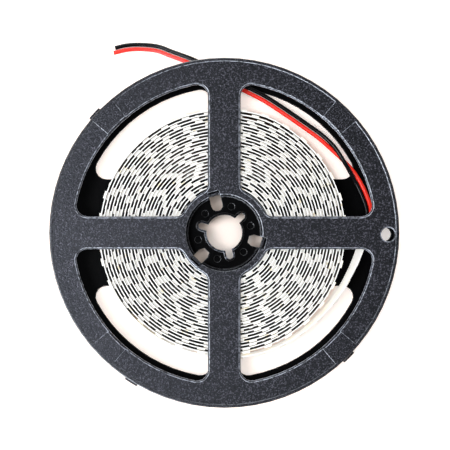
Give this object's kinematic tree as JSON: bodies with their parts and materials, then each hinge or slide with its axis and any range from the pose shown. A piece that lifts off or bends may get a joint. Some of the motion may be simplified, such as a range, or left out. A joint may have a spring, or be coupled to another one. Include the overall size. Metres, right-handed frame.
{
  "type": "led strip light reel",
  "caption": "Flexible white led strip light wound on a snap-together black plastic reel, with a red and a black lead at its free end.",
  "frame": {"origin": "centre of the back flange's outer face, on the surface that the reel lies on", "axes": "+Z along the reel's axis, from the back flange to the front one; +X towards the small peg hole near the rim"},
  "size_m": [0.128, 0.1352, 0.012],
  "materials": {
    "reel_plastic": "charcoal black, fine speckled satin grain",
    "strip": "white solder-mask coating with cream and yellow led tops",
    "red_sheath": "smooth satin",
    "black_sheath": "smooth satin",
    "solder": "bright solder"
  },
  "bodies": {
    "root": {"front_reel_half": "reel_plastic", "back_reel_half": "reel_plastic", "led_strip": "strip", "red_solder_joint": "solder", "black_solder_joint": "solder", "red_lead": "red_sheath", "black_lead": "black_sheath"}
  },
  "joints": []
}
